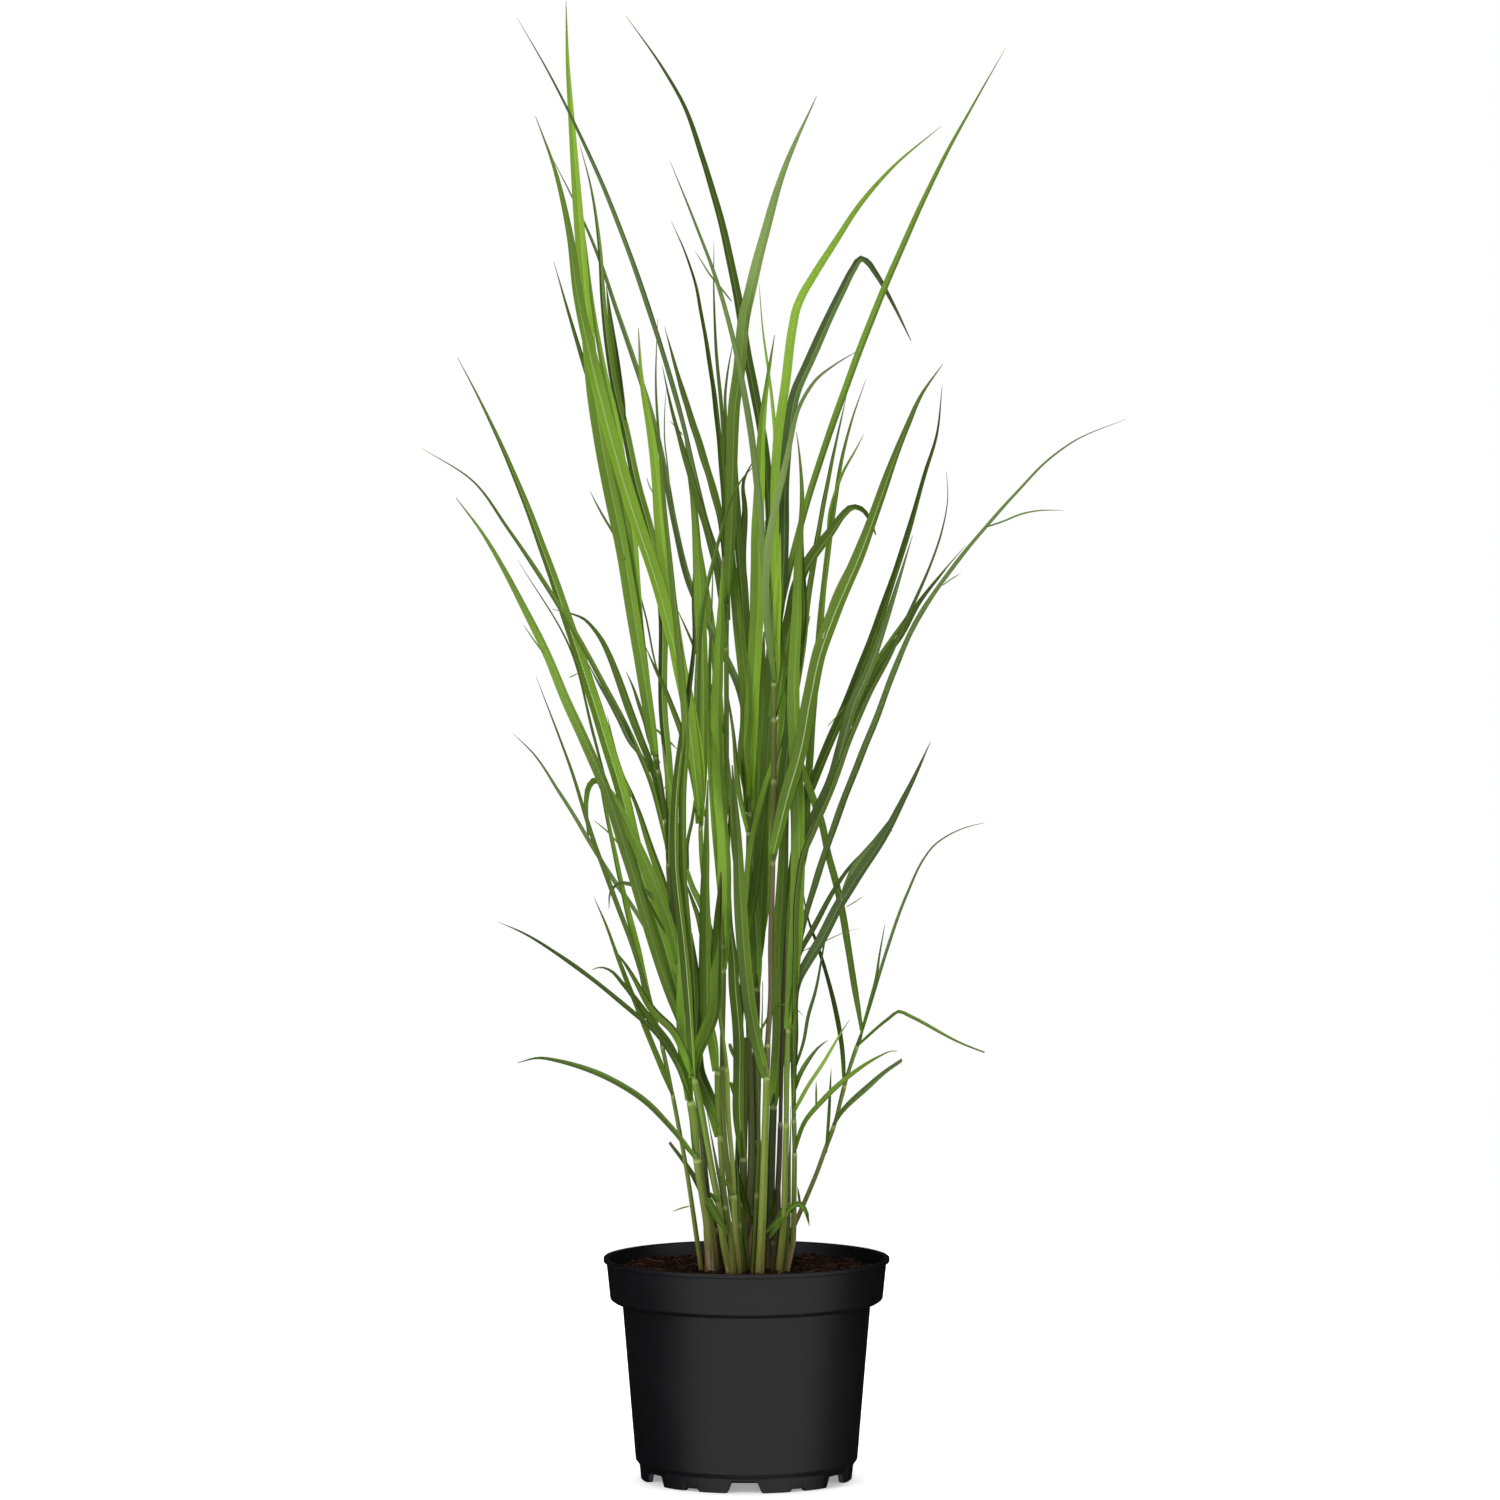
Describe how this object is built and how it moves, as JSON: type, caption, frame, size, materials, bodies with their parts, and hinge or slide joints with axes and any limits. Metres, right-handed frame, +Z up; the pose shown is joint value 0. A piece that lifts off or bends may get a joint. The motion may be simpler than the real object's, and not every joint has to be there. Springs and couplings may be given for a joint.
{
  "type": "potted ornamental grass",
  "caption": "Potted miscanthus clump: upright stems with long arching folded leaves, growing in soil in a round tapered nursery container that stands on feet.",
  "frame": {"origin": "middle of the whole clump's width and depth, on the plane that the container's feet stand on", "axes": "+Z up, -Y towards the viewer of the front"},
  "size_m": [0.5636, 0.4804, 1.1808],
  "materials": {
    "pot_plastic": "black, satin moulded",
    "potting_mix": "dark, moist, crumbly, matte",
    "stem": "green, satin",
    "leaf": "green, satin, slightly translucent"
  },
  "bodies": {
    "root": {"pot": "pot_plastic", "soil": "potting_mix", "stem_back": "stem", "stem_brown_base": "stem", "stem_dark": "stem", "stem_far_left": "stem", "stem_leaning": "stem", "stem_left_bright": "stem", "stem_left_front": "stem", "stem_middle": "stem", "stem_right": "stem", "stem_right_bright": "stem", "stem_right_brown": "stem", "stem_tall_left": "stem", "stem_tall_middle": "stem", "stem_tall_right": "stem", "blade_a01": "leaf", "blade_a02": "leaf", "blade_a03": "leaf", "blade_a04": "leaf", "blade_a05": "leaf", "blade_a06": "leaf", "blade_a08": "leaf", "blade_a11": "leaf", "blade_a14": "leaf", "blade_a17": "leaf", "blade_a18": "leaf", "blade_b01": "leaf", "blade_b02": "leaf", "blade_b03": "leaf", "blade_b04": "leaf", "blade_b06": "leaf", "blade_b07": "leaf", "blade_b08": "leaf", "blade_b09": "leaf", "blade_b10": "leaf", "blade_b12": "leaf", "blade_b16": "leaf", "blade_b17": "leaf", "blade_b18": "leaf", "blade_c01": "leaf", "blade_c02": "leaf", "blade_c03": "leaf", "blade_c04": "leaf", "blade_c06": "leaf", "blade_c07": "leaf", "blade_c09": "leaf", "blade_c10": "leaf", "blade_c11": "leaf", "blade_c12": "leaf", "blade_c13": "leaf", "blade_c14": "leaf", "blade_c15": "leaf", "blade_c16": "leaf", "blade_c18": "leaf", "blade_c20": "leaf", "blade_c21": "leaf", "blade_d03": "leaf", "blade_d04": "leaf", "blade_d05": "leaf"}
  },
  "joints": []
}
